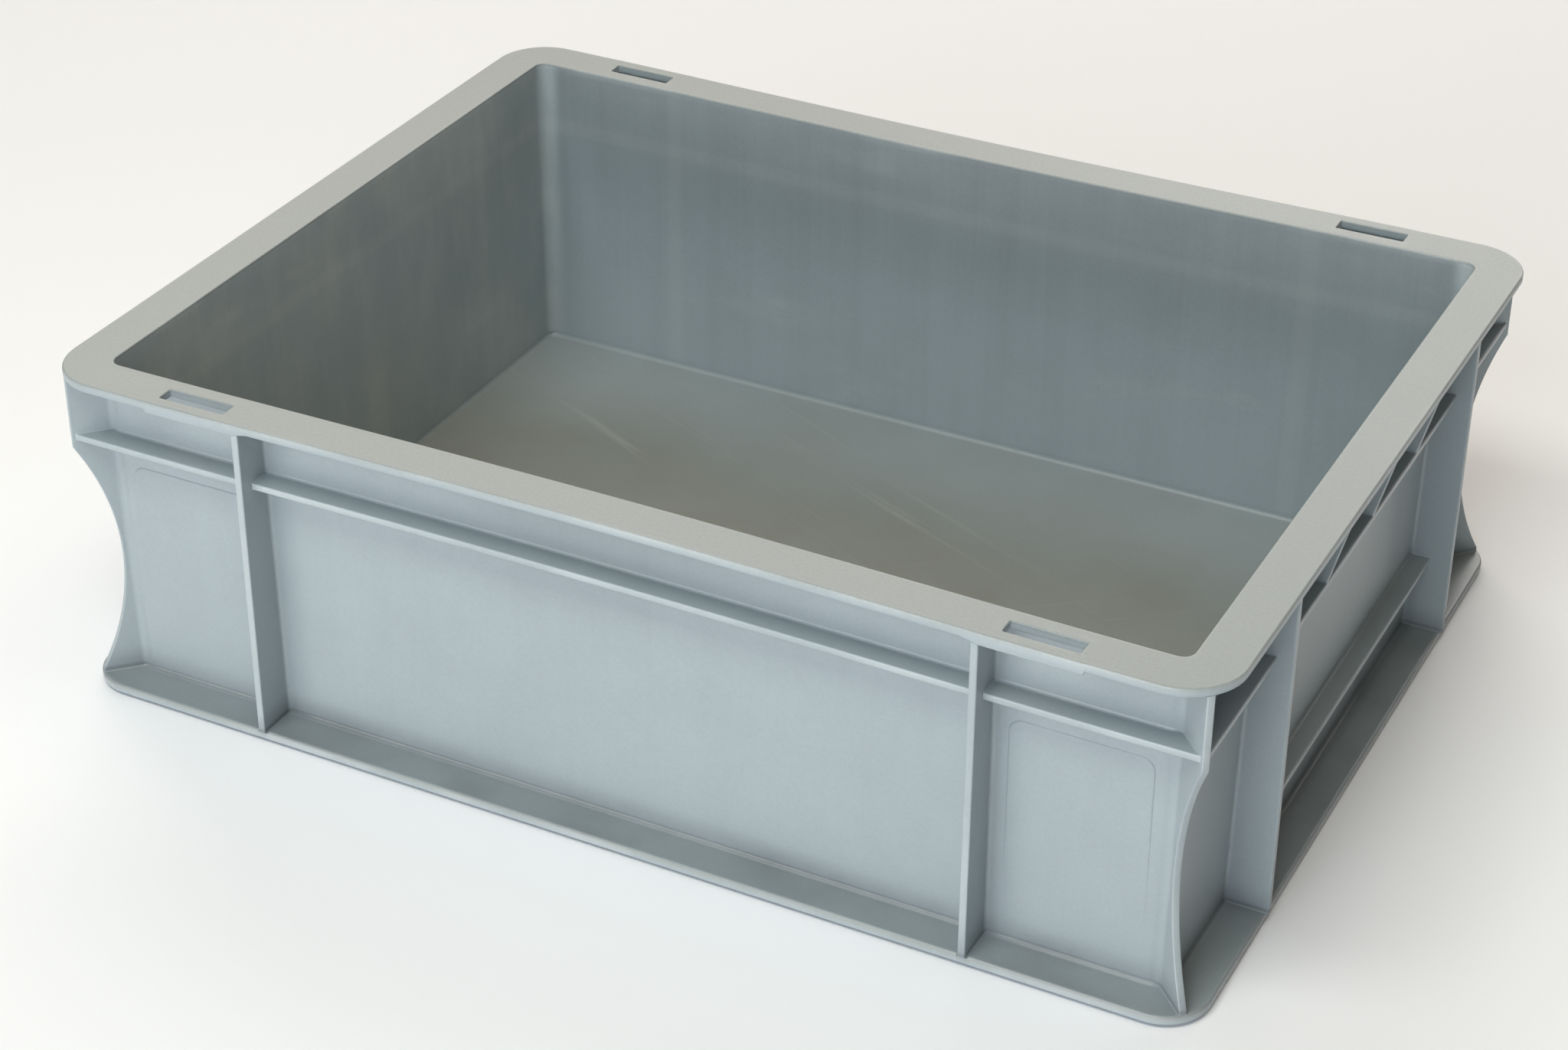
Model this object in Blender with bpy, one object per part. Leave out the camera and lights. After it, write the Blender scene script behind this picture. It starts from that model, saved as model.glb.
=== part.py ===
"""A stacking plastic crate with closed walls, for the 400 x 300 mm pallet module.

Metres, +Z up. The crate stands on the plane z = 0, centred on the origin, with its long sides along X.
A side's pieces are placed along the side (u) and outwards from the crate's centre (v), and each corner's
pieces are placed from the centre of the tub's rounded corner."""

import math

import bmesh
import bpy
from mathutils import Vector

# Overall sizes
LENGTH = 0.400
WIDTH = 0.300
HEIGHT = 0.120
GAP = 0.0003  # clearance that neighbouring pieces keep
MAX_SEGMENT = 0.025  # longest straight stretch of a bowed edge
ARC_STEP = math.radians(11.25)

# Top rim
RIM_WIDTH = 0.016
RIM_THICKNESS = 0.0028
RIM_CORNER_RADIUS = 0.019
SIDE_BOW = 0.0024  # how far the rim of a long side bends inwards at mid-length

# Slots in the long sides' rim, each with a thicker lip that runs from the rib past the slot
SLOT_LENGTH = 0.024
SLOT_WIDTH = 0.006
SLOT_EDGE = 0.0045  # from the rim's outer edge to the slot
SLOT_TO_RIB = 0.0053
LIP_DEPTH = 0.0012  # how far the lip hangs below the rim's plate
LIP_WIDTH = 0.0032
LIP_OVERRUN = 0.0025
UNION_OVERLAP = 0.0010
CUT_MARGIN = 0.0020

# Tub
WALL = 0.0026
WALL_DRAFT = 0.0014  # how much narrower each side is at the bottom than at the top
TUB_CORNER_RADIUS = 0.0040  # inside radius
FLOOR_UNDERSIDE = 0.0012
FLOOR_THICKNESS = 0.0022
FOOT_WIDTH = 0.0040
FOOT_INSIDE_RADIUS = 0.0010

# Base flange
FLANGE_UNDERSIDE = 0.0013
FLANGE_THICKNESS = 0.0030
FLANGE_INSET = 0.0014  # from the rim's outer edge
FLANGE_CORNER_RADIUS = 0.0155

# Outer ribs
RIB_THICKNESS = 0.0025
RIB_INSET = 0.0003  # from the rim's outer edge
LONG_SIDE_RIB_FROM_END = 0.0745  # from the end of the side to the rib's middle
SHORT_SIDE_RIB_FROM_END = 0.0633
BELT_BELOW_TOP = 0.0247  # from the rim's top to the belt rib's middle
BELT_THICKNESS = 0.0023
BELT_INSET = 0.0056
MID_RIB_HEIGHT = 0.0315
MID_RIB_THICKNESS = 0.0020
MID_RIB_DEPTH = 0.0066
GUSSETS = 3
GUSSET_THICKNESS = 0.0016

# Corner fins
FIN_THICKNESS = 0.0025
FIN_INSET = 0.0001  # from the rim's corner arc
FIN_ARC_DEPTH = 0.0113
FIN_ARC_BELOW_BELT = 0.0027  # from the belt rib's underside to the arc's upper end
FIN_ARC_ABOVE_FLANGE = 0.0010
FIN_BASE_INSET = 0.0009  # how much further in the fin stands at the flange
FIN_ARC_STEPS = 14

COLOUR = (0.40, 0.46, 0.49, 1.0)
ROUGHNESS = 0.42

HALF_OPENING_X = LENGTH / 2 - RIM_WIDTH
HALF_OPENING_Y = WIDTH / 2 - RIM_WIDTH
RIM_UNDERSIDE = HEIGHT - RIM_THICKNESS
RIM_CORNER_TO_ARC = RIM_CORNER_RADIUS * (math.sqrt(2) - 1)
LONG_RIB_AT = LENGTH / 2 - LONG_SIDE_RIB_FROM_END
SHORT_RIB_AT = WIDTH / 2 - SHORT_SIDE_RIB_FROM_END
BELT_HEIGHT = HEIGHT - BELT_BELOW_TOP
FLOOR_TOP = FLOOR_UNDERSIDE + FLOOR_THICKNESS
FLANGE_TOP = FLANGE_UNDERSIDE + FLANGE_THICKNESS
BELT_UNDERSIDE = BELT_HEIGHT - BELT_THICKNESS / 2
BELT_TOP = BELT_HEIGHT + BELT_THICKNESS / 2
SLOT_AT = LONG_RIB_AT + RIB_THICKNESS / 2 + SLOT_TO_RIB + SLOT_LENGTH / 2

# A side: its half length, the half size that it stands at, its quarter turns from the front, and its ribs
SIDES = {
    "front": (LENGTH / 2, WIDTH / 2, 0, LONG_RIB_AT),
    "right": (WIDTH / 2, LENGTH / 2, 1, SHORT_RIB_AT),
    "back": (LENGTH / 2, WIDTH / 2, 2, LONG_RIB_AT),
    "left": (WIDTH / 2, LENGTH / 2, 3, SHORT_RIB_AT),
}
# The names of a side's two ends, at -u and +u
SIDE_ENDS = {
    "front": ("left", "right"),
    "right": ("front", "back"),
    "back": ("right", "left"),
    "left": ("back", "front"),
}
CORNERS = {
    "front_left": (-1, -1),
    "front_right": (1, -1),
    "back_right": (1, 1),
    "back_left": (-1, 1),
}


def clear_scene():
    for obj in list(bpy.data.objects):
        bpy.data.objects.remove(obj, do_unlink=True)


def plastic(name):
    """The light grey plastic, one material for each piece."""
    material = bpy.data.materials.new(name)
    material.use_nodes = True
    shader = material.node_tree.nodes["Principled BSDF"]
    shader.inputs["Base Color"].default_value = COLOUR
    shader.inputs["Roughness"].default_value = ROUGHNESS
    shader.inputs["Metallic"].default_value = 0.0
    return material


def bowed(point):
    """The point moved inwards with its long side, most at mid-length of the rim and not at all at the base."""
    x, y, z = point
    along = min(1, abs(x) / (LENGTH / 2 - RIM_CORNER_RADIUS))
    reach = (1 - along**2) ** 2 * z / HEIGHT
    return Vector((x, y * (1 - SIDE_BOW * reach * 2 / WIDTH), z))


def divided(first, last):
    """The two outlines with their long stretches divided alike, close enough to follow the bow."""
    lower, upper = [], []
    for i in range(len(first)):
        j = (i + 1) % len(first)
        longest = max(math.dist(first[i], first[j]), math.dist(last[i], last[j]))
        count = max(1, math.ceil(longest / MAX_SEGMENT))
        for step in range(count):
            lower.append(Vector(first[i]).lerp(Vector(first[j]), step / count))
            upper.append(Vector(last[i]).lerp(Vector(last[j]), step / count))
    return lower, upper


def solid(name, first, last):
    """One closed piece between two outlines with the same number of points."""
    mesh = bmesh.new()
    lower, upper = divided(first, last)
    lower = [mesh.verts.new(bowed(point)) for point in lower]
    upper = [mesh.verts.new(bowed(point)) for point in upper]
    count = len(lower)
    for i in range(count):
        j = (i + 1) % count
        mesh.faces.new((lower[i], lower[j], upper[j], upper[i]))
    mesh.faces.new(lower)
    mesh.faces.new(upper)
    bmesh.ops.recalc_face_normals(mesh, faces=mesh.faces)
    data = bpy.data.meshes.new(name)
    mesh.to_mesh(data)
    mesh.free()
    obj = bpy.data.objects.new(name, data)
    obj.data.materials.append(plastic(name + "_plastic"))
    bpy.context.scene.collection.objects.link(obj)
    return obj


def helper(name, first, last):
    """A cutter or a filler for a Boolean, which isn't a piece itself."""
    obj = solid(name, first, last)
    obj.hide_render = True
    obj.display_type = "WIRE"
    return obj


def combine(obj, other, operation):
    modifier = obj.modifiers.new(other.name, "BOOLEAN")
    modifier.operation = operation
    modifier.solver = "EXACT"
    modifier.object = other


def turned(u, v, quarter_turns):
    """A place on a side as world x and y: u along the side, v outwards."""
    x, y = u, -v
    for _ in range(quarter_turns):
        x, y = -y, x
    return x, y


def on_side(side, outline, z):
    """A plan outline of (u, v) points, placed on a side at height z."""
    turns = SIDES[side][2]
    return [(*turned(u, v, turns), z) for u, v in outline]


def arc(centre, radius, start, end):
    """Points on an arc round the centre, both ends included, with angles in radians."""
    count = max(1, round(abs(end - start) / ARC_STEP))
    angles = [start + (end - start) * i / count for i in range(count + 1)]
    return [(centre[0] + radius * math.cos(a), centre[1] + radius * math.sin(a)) for a in angles]


def tub_inside(half_opening, z):
    """Half the tub's inside width at height z, which the draft narrows downwards."""
    return half_opening - WALL_DRAFT * (1 - z / HEIGHT)


def wall_outside(half_size, z):
    """How far the outside of a wall stands from the centre at height z."""
    return tub_inside(half_size - RIM_WIDTH, z) + WALL


def corner_centre(half_length, half_size, z):
    """The centre of the tub's rounded corner, as u and v at height z."""
    inset = RIM_WIDTH + TUB_CORNER_RADIUS + WALL_DRAFT * (1 - z / HEIGHT)
    return half_length - inset, half_size - inset


def rectangle(u_low, u_high, v_low, v_high):
    return [(u_low, v_low), (u_high, v_low), (u_high, v_high), (u_low, v_high)]


def mitred_bar(half_length, half_size, outer_inset, outer_radius, inner_inset, inner_radius):
    """The plan outline of one side of a rounded rectangular ring, mitred along the corners' diagonals."""
    quarter = math.pi / 4
    mitre = math.asin(GAP / 2 / outer_radius)
    outer = (half_length - outer_inset - outer_radius, half_size - outer_inset - outer_radius)
    inner = (half_length - inner_inset - inner_radius, half_size - inner_inset - inner_radius)
    inner_mitre = math.asin(GAP / 2 / inner_radius)
    right_out = arc(outer, outer_radius, quarter + mitre, 2 * quarter)
    right_in = arc(inner, inner_radius, 2 * quarter, quarter + inner_mitre)
    outline = right_out + [(-u, v) for u, v in reversed(right_out)]
    return outline + [(-u, v) for u, v in reversed(right_in)] + right_in


def build_floor():
    """The floor panel, and the low rim under it that drops into the crate below."""
    half_x = tub_inside(HALF_OPENING_X, FLOOR_UNDERSIDE) - GAP
    half_y = tub_inside(HALF_OPENING_Y, FLOOR_UNDERSIDE) - GAP
    radius = TUB_CORNER_RADIUS - GAP
    centre = (half_x - radius, half_y - radius)
    quarter = arc(centre, radius, 0, math.pi / 2)
    outline = quarter + [(-x, y) for x, y in reversed(quarter)]
    outline += [(-x, -y) for x, y in quarter] + [(x, -y) for x, y in reversed(quarter)]
    low = [(x, y, FLOOR_UNDERSIDE) for x, y in outline]
    high = [(x, y, FLOOR_TOP) for x, y in outline]
    solid("floor_panel", low, high)
    for side, (half_length, half_size, _, _) in SIDES.items():
        inset = half_size - tub_inside(half_size - RIM_WIDTH, FLOOR_UNDERSIDE) + GAP
        bar = mitred_bar(
            half_length, half_size, inset, radius, inset + FOOT_WIDTH, FOOT_INSIDE_RADIUS
        )
        solid("foot_" + side, on_side(side, bar, 0), on_side(side, bar, FLOOR_UNDERSIDE - GAP))


def build_wall(side):
    """A flat wall between two rounded corners, leaning outwards by its draft."""
    half_length, half_size, _, _ = SIDES[side]
    rings = []
    for z in (FLANGE_UNDERSIDE, RIM_UNDERSIDE - GAP):
        end = corner_centre(half_length, half_size, z)[0] - GAP
        outside = wall_outside(half_size, z)
        rings.append(on_side(side, rectangle(-end, end, outside - WALL, outside), z))
    solid("wall_" + side, *rings)


def build_wall_corner(name, sign_x, sign_y):
    """A rounded corner of the tub."""
    rings = []
    for z in (FLANGE_UNDERSIDE, RIM_UNDERSIDE - GAP):
        centre = corner_centre(LENGTH / 2, WIDTH / 2, z)
        outer = arc(centre, TUB_CORNER_RADIUS + WALL, 0, math.pi / 2)
        inner = arc(centre, TUB_CORNER_RADIUS, math.pi / 2, 0)
        rings.append([(sign_x * x, sign_y * y, z) for x, y in outer + inner])
    solid("wall_corner_" + name, *rings)


def build_rim(side):
    """One side of the flat rim. A long side has a slot and a thicker lip beside each rib."""
    half_length, half_size, _, _ = SIDES[side]
    bar = mitred_bar(half_length, half_size, 0, RIM_CORNER_RADIUS, RIM_WIDTH, TUB_CORNER_RADIUS)
    low, high = on_side(side, bar, RIM_UNDERSIDE), on_side(side, bar, HEIGHT)
    rim = solid("rim_" + side, low, high)
    if side in ("right", "left"):
        return
    lip_start = LONG_RIB_AT + RIB_THICKNESS / 2 + GAP
    lip_end = SLOT_AT + SLOT_LENGTH / 2 + LIP_OVERRUN
    slot_outside = half_size - SLOT_EDGE
    for sign, end in zip((-1, 1), SIDE_ENDS[side]):
        lip = rectangle(
            sign * lip_start, sign * lip_end, half_size - RIB_INSET - LIP_WIDTH, half_size - RIB_INSET
        )
        filler = helper(
            "lip_{}_{}".format(side, end),
            on_side(side, lip, RIM_UNDERSIDE - LIP_DEPTH),
            on_side(side, lip, RIM_UNDERSIDE + UNION_OVERLAP),
        )
        combine(rim, filler, "UNION")
        near, far = SLOT_AT - SLOT_LENGTH / 2, SLOT_AT + SLOT_LENGTH / 2
        slot = rectangle(sign * near, sign * far, slot_outside - SLOT_WIDTH, slot_outside)
        cutter = helper(
            "slot_{}_{}".format(side, end),
            on_side(side, slot, RIM_UNDERSIDE - LIP_DEPTH - CUT_MARGIN),
            on_side(side, slot, HEIGHT + CUT_MARGIN),
        )
        combine(rim, cutter, "DIFFERENCE")


def build_flange(side):
    """One side of the flange round the tub's base."""
    half_length, half_size, _, _ = SIDES[side]
    inner_inset = half_size - wall_outside(half_size, FLANGE_TOP) - GAP
    inner_radius = TUB_CORNER_RADIUS + WALL + GAP
    bar = mitred_bar(
        half_length, half_size, FLANGE_INSET, FLANGE_CORNER_RADIUS, inner_inset, inner_radius
    )
    low, high = on_side(side, bar, FLANGE_UNDERSIDE), on_side(side, bar, FLANGE_TOP)
    solid("flange_" + side, low, high)


def build_side_ribs(side):
    """The two upright ribs of a side, from the flange to the rim."""
    _, half_size, _, rib_at = SIDES[side]
    for sign, end in zip((-1, 1), SIDE_ENDS[side]):
        rings = []
        for z in (FLANGE_TOP + GAP, RIM_UNDERSIDE - GAP):
            root = wall_outside(half_size, z) + GAP
            near = sign * rib_at - RIB_THICKNESS / 2
            outline = rectangle(near, near + RIB_THICKNESS, root, half_size - RIB_INSET)
            rings.append(on_side(side, outline, z))
        solid("rib_{}_{}".format(side, end), *rings)


def belt_end_outline(half_length, half_size, rib_face, z):
    """A belt rib's plan between an upright rib and the corner fin, round the tub's corner."""
    centre = corner_centre(half_length, half_size, z)
    radius = TUB_CORNER_RADIUS + WALL + GAP
    fin_side = FIN_THICKNESS / 2 + GAP
    fin_angle = math.pi / 4 + math.asin(fin_side / radius)
    round_corner = arc(centre, radius, math.pi / 2, fin_angle)
    outside = half_size - BELT_INSET
    along_fin = outside - centre[1]
    at_fin = centre[0] + along_fin - fin_side * math.sqrt(2)
    return [(rib_face, outside), (rib_face, centre[1] + radius)] + round_corner + [(at_fin, outside)]


def build_belt(side):
    """The level rib a little below the rim, in three lengths between the upright ribs and the fins."""
    half_length, half_size, _, rib_at = SIDES[side]
    rib_face = rib_at + RIB_THICKNESS / 2 + GAP
    inner_face = rib_at - RIB_THICKNESS / 2 - GAP
    for sign, end in zip((-1, 1), SIDE_ENDS[side]):
        outline = belt_end_outline(half_length, half_size, rib_face, BELT_TOP)
        outline = [(sign * u, v) for u, v in outline]
        low, high = on_side(side, outline, BELT_UNDERSIDE), on_side(side, outline, BELT_TOP)
        solid("belt_{}_{}".format(side, end), low, high)
    root = wall_outside(half_size, BELT_TOP) + GAP
    outline = rectangle(-inner_face, inner_face, root, half_size - BELT_INSET)
    low, high = on_side(side, outline, BELT_UNDERSIDE), on_side(side, outline, BELT_TOP)
    solid("belt_{}_middle".format(side), low, high)


def build_short_side_details(side):
    """A short side's second level rib, and the gussets between its belt rib and the rim."""
    _, half_size, _, rib_at = SIDES[side]
    inner_face = rib_at - RIB_THICKNESS / 2 - GAP
    low, high = MID_RIB_HEIGHT - MID_RIB_THICKNESS / 2, MID_RIB_HEIGHT + MID_RIB_THICKNESS / 2
    root = wall_outside(half_size, high) + GAP
    outline = rectangle(-inner_face, inner_face, root, root + MID_RIB_DEPTH)
    solid("mid_rib_" + side, on_side(side, outline, low), on_side(side, outline, high))
    spacing = 2 * rib_at / (GUSSETS + 1)
    for i in range(GUSSETS):
        at = (i + 1) * spacing - rib_at
        rings = []
        for z, outside in (
            (BELT_TOP + GAP, half_size - BELT_INSET),
            (RIM_UNDERSIDE - GAP, half_size - RIB_INSET),
        ):
            root = wall_outside(half_size, z) + GAP
            near, far = at - GUSSET_THICKNESS / 2, at + GUSSET_THICKNESS / 2
            rings.append(on_side(side, rectangle(near, far, root, outside), z))
        solid("gusset_{}_{}".format(side, i + 1), *rings)


def fin_edge():
    """The fin's outer edge as (inwards from the rim's corner arc, height), from the rim to the flange."""
    top = BELT_UNDERSIDE - FIN_ARC_BELOW_BELT
    bottom = FLANGE_TOP + GAP + FIN_ARC_ABOVE_FLANGE
    half_chord = (top - bottom) / 2
    radius = (half_chord**2 + FIN_ARC_DEPTH**2) / (2 * FIN_ARC_DEPTH)
    edge = [(FIN_INSET, RIM_UNDERSIDE - GAP)]
    for i in range(FIN_ARC_STEPS + 1):
        along = half_chord * (1 - 2 * i / FIN_ARC_STEPS)
        depth = FIN_ARC_DEPTH - radius + math.sqrt(radius**2 - along**2)
        inset = FIN_INSET + FIN_BASE_INSET * i / FIN_ARC_STEPS
        edge.append((inset + depth, bottom + half_chord + along))
    return edge + [(FIN_INSET + FIN_BASE_INSET, FLANGE_TOP + GAP)]


def build_fin(name, sign_x, sign_y):
    """The upright fin on a corner's diagonal, with its outer edge hollowed between the belt and the base."""
    diagonal = Vector((sign_x, sign_y, 0)).normalized()
    across = Vector((-diagonal.y, diagonal.x, 0)) * FIN_THICKNESS / 2
    corner = Vector((sign_x * LENGTH / 2, sign_y * WIDTH / 2, 0))
    arc_middle = corner - diagonal * RIM_CORNER_TO_ARC
    profile = []
    for inwards, z in fin_edge():
        profile.append(arc_middle - diagonal * inwards + Vector((0, 0, z)))
    for z in (FLANGE_TOP + GAP, RIM_UNDERSIDE - GAP):
        centre_x, centre_y = corner_centre(LENGTH / 2, WIDTH / 2, z)
        root = Vector((sign_x * centre_x, sign_y * centre_y, z))
        profile.append(root + diagonal * (TUB_CORNER_RADIUS + WALL + GAP))
    solid("fin_" + name, [p - across for p in profile], [p + across for p in profile])


def build():
    clear_scene()
    build_floor()
    for side in SIDES:
        build_wall(side)
        build_rim(side)
        build_flange(side)
        build_side_ribs(side)
        build_belt(side)
    for side in ("right", "left"):
        build_short_side_details(side)
    for name, (sign_x, sign_y) in CORNERS.items():
        build_wall_corner(name, sign_x, sign_y)
        build_fin(name, sign_x, sign_y)


build()
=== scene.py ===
"""A light grey stacking crate in moulded polypropylene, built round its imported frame.

Metres, +Z up. Each side's pieces are placed along the side (u) and outwards from the crate's centre (v).
Every shape is worked out for straight sides first, and bowed() then bends the long sides inwards."""

import bmesh
import bpy
import numpy as np
from mathutils import Matrix, Vector


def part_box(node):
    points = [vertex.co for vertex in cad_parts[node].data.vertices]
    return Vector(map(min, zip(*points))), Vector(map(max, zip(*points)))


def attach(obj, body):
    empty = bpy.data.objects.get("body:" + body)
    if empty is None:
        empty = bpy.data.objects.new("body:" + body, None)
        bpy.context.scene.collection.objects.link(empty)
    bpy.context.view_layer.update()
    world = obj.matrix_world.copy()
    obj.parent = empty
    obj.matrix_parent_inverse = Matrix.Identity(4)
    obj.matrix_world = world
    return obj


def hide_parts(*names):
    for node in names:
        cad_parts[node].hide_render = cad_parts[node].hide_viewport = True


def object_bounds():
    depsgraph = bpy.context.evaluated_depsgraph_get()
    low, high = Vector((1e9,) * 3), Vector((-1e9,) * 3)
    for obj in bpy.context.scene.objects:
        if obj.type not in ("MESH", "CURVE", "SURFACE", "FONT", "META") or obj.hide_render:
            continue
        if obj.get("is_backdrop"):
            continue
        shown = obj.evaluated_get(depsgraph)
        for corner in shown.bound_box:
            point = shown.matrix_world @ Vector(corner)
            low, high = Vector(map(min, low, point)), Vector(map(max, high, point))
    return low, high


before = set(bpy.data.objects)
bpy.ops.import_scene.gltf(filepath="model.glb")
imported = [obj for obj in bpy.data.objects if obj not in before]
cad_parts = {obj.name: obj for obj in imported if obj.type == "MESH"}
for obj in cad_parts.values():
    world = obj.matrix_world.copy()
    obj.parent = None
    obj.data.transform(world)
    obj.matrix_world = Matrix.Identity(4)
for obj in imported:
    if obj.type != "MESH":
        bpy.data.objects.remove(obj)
cad_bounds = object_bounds()


# The tub's floor: a flat panel with a soft fillet up into the walls, and the low foot ring under it. Floor,
# walls, rim and flange are one skin in the polypropylene moulding, so each is a profile, a closed loop,
# carried round a rounded rectangle through the same places, and neighbours meet on flat stretches.
def box_middle(name, axis):
    """The middle of a node's box along an axis: half the sum of its ends."""
    return float(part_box(name)[0][axis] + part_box(name)[1][axis]) / 2


def box_thickness(name, axis):
    """The length of a node's box along an axis: its high end less its low end."""
    return float(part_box(name)[1][axis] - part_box(name)[0][axis])


half_length, half_width, height = (float(value) for value in cad_bounds[1])
sides = {"front": 0, "right": 1, "back": 2, "left": 3}
side_bow = 0.0024  # how far the cooling plastic draws the top of a long side inwards
rim_corner_radius = 0.019
tub_corner_radius = 0.0040
opening_inset = 0.016
wall_draft = 0.0014
flat_row = 0.0006  # a row of points this far past a rounding keeps the flat beside it flat

floor_underside, floor_top = (float(corner[2]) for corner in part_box("floor_panel"))
flange_underside, flange_top = (float(corner[2]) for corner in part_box("flange_front"))
floor_fillet = 0.0018
floor_corner_radius = tub_corner_radius * 0.75
foot_rounding = 0.0003
foot_outside = 0.0177
foot_inside = 0.0217
underside_seam = 0.0166
floor_shares = np.array((0.1, 0.3, 0.5, 0.7, 0.9))  # rings of the flat floor, as shares of its outline

rib_thickness = box_thickness("rib_front_right", 0)
long_rib_at = box_middle("rib_front_right", 0)
slot_length = 0.024
slot_width = 0.006
slot_edge = 0.0045
slot_to_rib = 0.0053
slot_margin = 0.0006  # the rounded margin round a slot
lip_overrun = 0.0025
lip_step = 0.0005
lip_start = long_rib_at + rib_thickness / 2
slot_start = lip_start + slot_to_rib
slot_end = slot_start + slot_length
lip_end = slot_end + lip_overrun

corner_steps = 16
corner_clearance = 0.005  # how far short of the corner's start the shared places stop
column_spacing = 0.006


def half_sizes(side):
    """Half the side's own length, and how far from the centre it stands."""
    return (half_length, half_width) if side in ("front", "back") else (half_width, half_length)


def turned(points, quarter_turns):
    """Points (..., 3) given as u, v, z on the front, turned about the crate's middle by quarter turns."""
    x, y, z = points[..., 0], -points[..., 1], points[..., 2]
    for _ in range(quarter_turns % 4):
        x, y = -y, x
    return np.stack((x, y, z), axis=-1)


def bowed(points):
    """Points (..., 3) moved inwards with their long side: y shrinks by the bow times (1 - t^2)^2 times the
    height, where t runs from 0 at mid-length to 1 where the rim's corner begins."""
    x, y, z = points[..., 0], points[..., 1], points[..., 2]
    along = np.minimum(1, np.abs(x) / (half_length - rim_corner_radius))
    reach = (1 - along**2) ** 2 * z / height
    return np.stack((x, y * (1 - side_bow * reach / half_width), z), axis=-1)


def inner_inset(z):
    """How far the wall's inner face stands in from the rim's outline: the opening's inset at the top, growing
    evenly to that inset plus the draft at z = 0."""
    return opening_inset + wall_draft * (1 - z / height)


def spaced(low, high, spacing):
    """Even places from low to high, as near the spacing as they come."""
    return np.linspace(low, high, max(2, int(round((high - low) / spacing)) + 1))


def arc_profile(centre, radius, start, end, steps):
    """Profile points on an arc round the centre, as inset (growing inwards) and height, angles in degrees."""
    angles = np.radians(np.linspace(start, end, steps + 1))
    return np.stack((centre[0] + radius * np.cos(angles), centre[1] + radius * np.sin(angles)), axis=-1)


def side_columns(side, special):
    """Places along a side's straight stretch that all profiles share: even ones, and the special ones on both
    halves, which push out any even one too near them."""
    reach = half_sizes(side)[0] - opening_inset - tub_corner_radius - corner_clearance
    regular = spaced(-reach, reach, column_spacing)
    if special:
        special = np.array([-value for value in special] + list(special))
        clear = np.abs(regular[:, None] - special[None, :]).min(axis=1) > column_spacing / 6
        regular = np.concatenate((regular[clear], special))
    return np.sort(regular)


slot_columns = [lip_start, lip_start + lip_step, slot_start - slot_margin, slot_start, slot_end]
slot_columns += [slot_end + slot_margin, lip_end, lip_end + lip_step]
shared_columns = {side: side_columns(side, slot_columns) for side in ("front", "back")}
shared_columns.update({side: side_columns(side, ()) for side in ("right", "left")})


def carried_round(profile, radius):
    """The profile (rows of inset and height) carried round the crate with a corner radius for each row, as
    points (rows, columns, 3): each side's shared places and its ends, then the next corner's arc."""
    inset, z = profile[:, 0:1], profile[:, 1:2]
    radius = radius.reshape(-1, 1)
    blocks = []
    for side, quarter_turns in sides.items():
        length, size = half_sizes(side)
        end = length - inset - radius
        middle = np.broadcast_to(shared_columns[side], (len(profile), shared_columns[side].size))
        u = np.concatenate((-end, middle, end), axis=1)
        v = np.broadcast_to(size - inset, u.shape)
        angle = np.linspace(0, np.pi / 2, corner_steps + 1)[None, 1:-1]
        corner_u = end + radius * np.sin(angle)
        corner_v = size - inset - radius + radius * np.cos(angle)
        u, v = np.concatenate((u, corner_u), axis=1), np.concatenate((v, corner_v), axis=1)
        blocks.append(turned(np.stack((u, v, np.broadcast_to(z, u.shape)), axis=-1), quarter_turns))
    return np.concatenate(blocks, axis=1)


wall_low = floor_top + floor_fillet
fillet_foot = inner_inset(wall_low)
foot_low = (foot_outside + foot_rounding, foot_rounding), (foot_inside - foot_rounding, foot_rounding)
floor_profile = np.concatenate(
    (
        [(fillet_foot + floor_fillet + flat_row, floor_top)],
        arc_profile((fillet_foot + floor_fillet, wall_low), floor_fillet, 270, 180, 10),
        [(underside_seam - flat_row, floor_top), (underside_seam, flange_underside)],
        [(foot_outside, flange_underside), (foot_outside, foot_rounding)],
        arc_profile(foot_low[0], foot_rounding, 180, 270, 4)[1:],
        arc_profile(foot_low[1], foot_rounding, 270, 360, 4),
        [(foot_inside, floor_underside), (foot_inside + flat_row, floor_underside)],
    )
)
within_wall = floor_profile[:, 0] > fillet_foot + 1e-6
floor_points = carried_round(floor_profile, np.where(within_wall, floor_corner_radius, tub_corner_radius))
shrink = np.stack((floor_shares, floor_shares, np.ones_like(floor_shares)), axis=-1)[:, None]
top_rings, bottom_rings = floor_points[0] * shrink, floor_points[-1] * shrink
floor_points = np.concatenate((top_rings, floor_points, bottom_rings[::-1]))


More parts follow.
